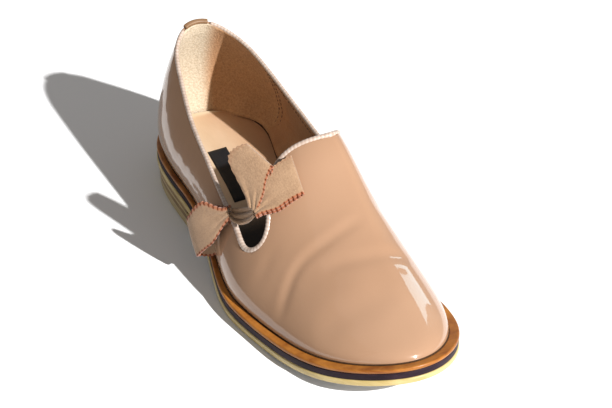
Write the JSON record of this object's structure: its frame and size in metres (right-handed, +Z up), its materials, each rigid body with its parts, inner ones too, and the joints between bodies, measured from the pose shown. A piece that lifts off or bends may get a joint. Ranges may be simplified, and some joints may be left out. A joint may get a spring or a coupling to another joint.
{
  "type": "low-heeled pump",
  "caption": "Right-foot patent leather slip-on pump with a low stacked heel, welted sole, bound opening and a ribbon bow over a slot on the outer side.",
  "frame": {"origin": "centre of the shoe's box, on the floor", "axes": "+X towards the toe, +Y to the wearer's left, which is the inner side of this right shoe, +Z up"},
  "size_m": [0.2688, 0.1046, 0.0884],
  "materials": {
    "outsole": "waxed edge",
    "midsole": "dark stained edge",
    "welt": "tan, satin",
    "heel_pale": "waxed edge",
    "heel_brown": "stained edge",
    "lining": "matt lining leather",
    "patent": "high-gloss patent",
    "piping": "folded edge binding",
    "tab": "matt",
    "ribbon": "matt suede-like ribbon with pinked edges"
  },
  "bodies": {
    "root": {"outsole": "outsole", "midsole": "midsole", "welt": "welt", "heel_top_piece": "heel_pale", "heel_lift_lower": "heel_brown", "heel_lift_middle": "heel_pale", "heel_lift_upper": "heel_brown", "insole": "lining", "upper": "patent", "topline_piping": "piping", "heel_tab": "tab", "bow_bridge": "ribbon", "bow_loop_vamp": "ribbon", "bow_loop_throat": "ribbon", "bow_loop_outer": "ribbon"}
  },
  "joints": []
}
